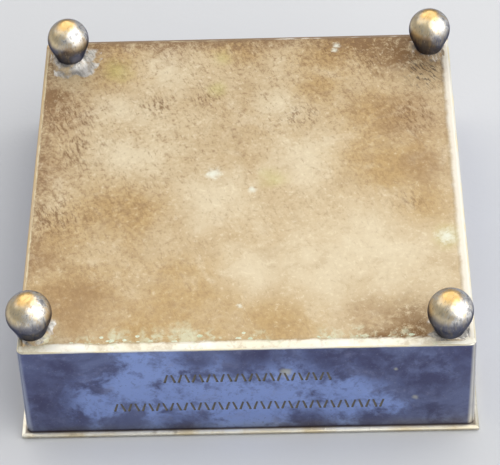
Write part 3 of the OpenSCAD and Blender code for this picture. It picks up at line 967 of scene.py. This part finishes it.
def felt_pad(material):
    """Pressed felt: a soft slab with two rounded lower edges, and cut ends that bulge a little."""
    across, long, steps, rows = 90, 60, 8, 6
    top, bottom = FELT_HIGH.z - 0.03, FELT_LOW.z + 0.02
    half = FELT_HIGH.y - 0.06
    inner, turn_z = half - FOLD_R, bottom + FOLD_R
    outline = [
        *straight((-half, top), (half, top), long),
        *straight((half, top), (half, turn_z), rows),
        *bend((inner, turn_z), FOLD_R, 0, steps),
        *straight((inner, bottom), (-inner, bottom), long),
        *bend((-inner, turn_z), FOLD_R, -90, steps),
        *straight((-half, turn_z), (-half, top), rows),
    ]
    middle_z = (top + bottom) / 2
    points = []
    for i in range(across + 1):
        u = -1 + 2 * i / across
        squeeze = 0.045 * max(0.0, abs(u) - 0.985) / 0.015
        for y, z in outline:
            p = Vector((u * (FELT_HIGH.x - 0.25), y, z))
            p.z = middle_z + (p.z - middle_z) * (1 - squeeze)
            if abs(u) > 0.98:
                p.x += math.copysign(0.12, u) * (1 - (p.z - middle_z) ** 2)
                p.x += 0.09 * lump(p, 0.5, 4)
            p.y -= math.copysign(0.03, p.y) * (1 + lump(p, 0.6, 6))
            points.append(p)
    around = len(outline)
    faces = ring_faces(across + 1, around)
    faces.append(tuple(range(around)))
    faces.append(tuple(len(points) - around + i for i in range(around)))
    pad = new_piece("felt_pad", points, faces, material, "block", ["felt_cushion"])


# ---------------------------------------------------------------- the pieces


def on_mitre(a, b):
    """Whether an edge lies in the mitre between two sides of the casing."""
    return all(abs(abs(p.x) - abs(p.y)) < 0.2 for p in (a, b))


def dress_casing():
    """Looks of the casing: its sheet metal, ball feet, solder, verdigris and stop strips."""
    plate, wall, rim = plate_material(), wall_material(), rim_material()
    dress("base_plate", plate)
    soften("base_plate", 0.10, lambda a, b: min(a.z, b.z) > PLATE_TOP - 0.01)
    for side in SIDES:
        dress(side + "_wall", wall)
        soften(side + "_wall", 0.13,
               lambda a, b: min(a.z, b.z) > CASING_TOP - 0.01 and not on_mitre(a, b))
        dress("rim_" + side, rim)
        soften("rim_" + side, 0.16,
               lambda a, b: all(max(map(abs, p.xy)) > RIM_HALF - 0.01 for p in (a, b))
               and not on_mitre(a, b))
    ball = ball_material()
    grey = solder_material("grey_solder", (0.72, 0.69, 0.64), (0.46, 0.44, 0.40),
                           (0.40, 0.31, 0.21), 41.0)
    stained = solder_material("stained_solder", (0.52, 0.41, 0.27), (0.36, 0.26, 0.15),
                              (0.14, 0.08, 0.04), 43.0)
    rolls = {"front": (0.95, 0.12, seam_material()), "right": (0.70, 0.05, plate),
             "rear": (0.70, 0.03, plate), "left": (0.70, 0.03, plate)}
    for i, side in enumerate(SIDES):
        width, high, metal = rolls[side]
        seam_roll(side, metal, width, high, 2.0 + 3.0 * i)
    for i, corner in enumerate(CORNERS):
        ball_foot(corner, ball, 3.1 + 2.7 * i)
        metal = stained if corner == "rear_right" else grey
        solder_pool(corner, metal, *POOLS[corner], 1.3 + 4.1 * i)
    verdigris_crust(verdigris_material())
    strip = sheet_metal_material("dull_brass_strip", (0.52, 0.38, 0.17), (0.38, 0.26, 0.11),
                                 (0.20, 0.14, 0.08), 1, 81.0)
    for node in ("stop_strip_left", "stop_strip_right"):
        dress(node, strip)
        soften(node, 0.15)


def dress_block():
    """Looks of the block: its wood, felt, paper and springs, and the clamp that holds the paper."""
    dress("wood_block", wood_material())
    soften("wood_block", 0.18)
    felt_pad(felt_material())
    cream = paper_material("inner_blotting_paper", (0.80, 0.76, 0.67), (0.70, 0.65, 0.55), False, 91.0)
    pink = paper_material("outer_blotting_paper", (0.80, 0.50, 0.48), (0.70, 0.40, 0.39), True, 92.0)
    blotting_sheet("inner_blotting_sheet", "blotting_sheet_inner", 0, cream, 2.0)
    blotting_sheet("outer_blotting_sheet", "blotting_sheet_outer", 1, pink, 8.0)
    bronze = sheet_metal_material("spring_bronze", (0.86, 0.58, 0.31), (0.68, 0.42, 0.20),
                                  (0.34, 0.20, 0.10), 1, 82.0, metallic=1.0)
    brass = sheet_metal_material("turned_brass", (0.80, 0.60, 0.26), (0.62, 0.44, 0.18),
                                 (0.34, 0.22, 0.10), 0, 83.0)
    steel = sheet_metal_material("tinned_steel", (0.62, 0.62, 0.60), (0.44, 0.44, 0.43),
                                 (0.26, 0.20, 0.15), 0, 84.0)
    screw = sheet_metal_material("screw_steel", (0.55, 0.55, 0.54), (0.38, 0.38, 0.38),
                                 (0.20, 0.15, 0.12), 1, 85.0)
    widths = {"leaf_spring": (bronze, 0.07), "spring_pin": (brass, 0.06), "clamp_screw": (screw, 0.05)}
    for name, (material, width) in widths.items():
        for side in ("_left", "_right"):
            dress(name + side, material)
            soften(name + side, width, segments=2)
    dress("clamp_plate", steel)
    soften("clamp_plate", 0.14)


# ---------------------------------------------------------------- floor, light and camera


def stage_floor():
    """A plain pale floor, wide enough to fill every view."""
    m = Material("pale_floor", roughness=0.75)
    m.colour = m.mix(m.noise(0.02, 5, 0.5, seed=95.0), (0.60, 0.61, 0.63), (0.65, 0.66, 0.68))
    m.bump(m.noise(1.2, 4, 0.6, seed=96.0), 0.03)
    bpy.ops.mesh.primitive_circle_add(vertices=96, radius=3.0, fill_type="NGON")
    floor = bpy.context.object
    floor.name = "floor"
    floor.data.materials.append(m.done())


def area_light(name, place, width, height, power, colour, target=(0, 0, 0.012)):
    """A soft rectangular light, in metres and watts, that faces the object."""
    light = bpy.data.lights.new(name, "AREA")
    light.shape = "RECTANGLE"
    light.size, light.size_y = width, height
    light.energy = power
    light.color = colour
    lamp = bpy.data.objects.new(name, light)
    bpy.context.scene.collection.objects.link(lamp)
    lamp.location = place
    lamp.rotation_euler = (Vector(target) - Vector(place)).to_track_quat("-Z", "Y").to_euler()


def light_studio():
    """A large key light to the right, two weaker ones behind, and a pale room."""
    area_light("key_softbox", (0.38, -0.14, 0.40), 1.00, 0.95, 4.9, (1.0, 0.985, 0.95))
    area_light("room_bounce", (-0.35, 0.25, 0.62), 0.80, 0.80, 1.7, (1.0, 0.94, 0.86))
    area_light("rear_softbox", (0.05, 0.62, 0.52), 0.80, 0.40, 1.3, (1.0, 0.97, 0.93))
    world = bpy.data.worlds.new("soft_room")
    bpy.context.scene.world = world
    world.use_nodes = True
    tree = world.node_tree
    background = tree.nodes["Background"]
    direction = tree.nodes.new("ShaderNodeTexCoord").outputs["Generated"]
    height = tree.nodes.new("ShaderNodeSeparateXYZ")
    tree.links.new(direction, height.inputs[0])
    ramp = tree.nodes.new("ShaderNodeValToRGB")
    tree.links.new(height.outputs["Z"], ramp.inputs["Fac"])
    ramp.color_ramp.elements[0].color = (0.62, 0.64, 0.68, 1)
    ramp.color_ramp.elements[1].color = (0.76, 0.80, 0.86, 1)
    tree.links.new(ramp.outputs["Color"], background.inputs["Color"])
    background.inputs["Strength"].default_value = 0.5


def make_camera():
    """A long lens that looks down at the back from in front."""
    pitch, yaw, roll = math.radians(47.60), math.radians(2.12), math.radians(-2.79)
    level = Vector((-math.sin(yaw), math.cos(yaw), 0))
    side = Vector((math.cos(yaw), math.sin(yaw), 0))
    ahead = level * math.cos(pitch) - Vector((0, 0, math.sin(pitch)))
    above = level * math.sin(pitch) + Vector((0, 0, math.cos(pitch)))
    right = side * math.cos(roll) + above * math.sin(roll)
    up = above * math.cos(roll) - side * math.sin(roll)
    data = bpy.data.cameras.new("camera")
    data.sensor_width = 36
    data.lens = 147.3
    data.clip_start, data.clip_end = 0.01, 20
    camera = bpy.data.objects.new("camera", data)
    bpy.context.scene.collection.objects.link(camera)
    turn = Matrix((right, up, -ahead)).transposed().to_4x4()
    camera.matrix_world = Matrix.Translation((0.0080, -0.21126, 0.23888)) @ turn
    bpy.context.scene.camera = camera


make_camera()
dress_casing()
dress_block()
stage_floor()
light_studio()
bpy.context.scene.view_settings.view_transform = "Standard"
